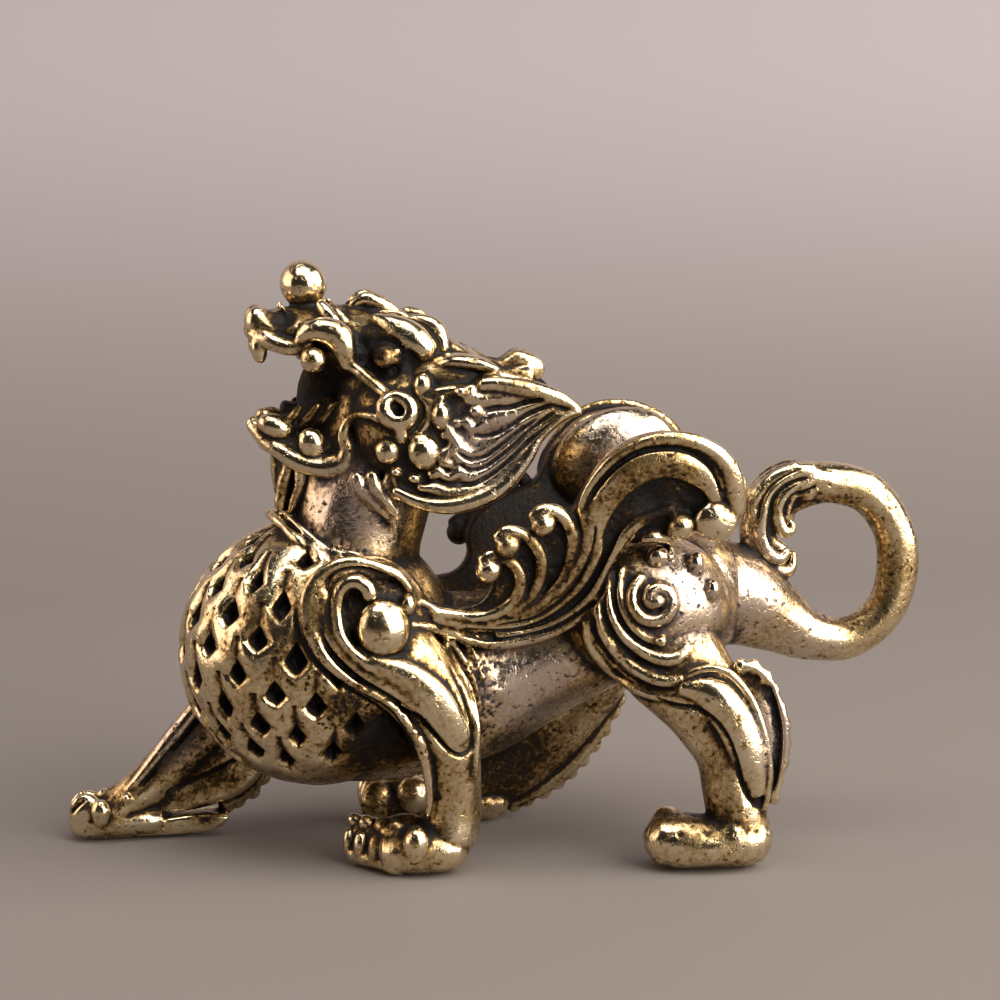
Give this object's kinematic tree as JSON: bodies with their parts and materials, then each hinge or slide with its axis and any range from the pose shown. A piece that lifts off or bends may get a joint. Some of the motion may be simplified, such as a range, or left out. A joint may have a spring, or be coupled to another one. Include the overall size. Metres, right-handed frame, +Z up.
{
  "type": "pixiu figurine",
  "caption": "Striding cast brass pixiu with head thrown back, open mouth, pearl on the nose, scaled chest, half-raised wings and a tail curled into a ring.",
  "frame": {"origin": "centre of the bounding box in plan, at the height of the soles", "axes": "+X from head to tail, +Z up, the flank whose front leg is set back towards -Y"},
  "size_m": [0.0607, 0.0208, 0.0414],
  "materials": {
    "brass": "cast, darkened in the recesses and rubbed bright on the high places"
  },
  "bodies": {
    "root": {"pixiu_figurine": "brass"}
  },
  "joints": []
}
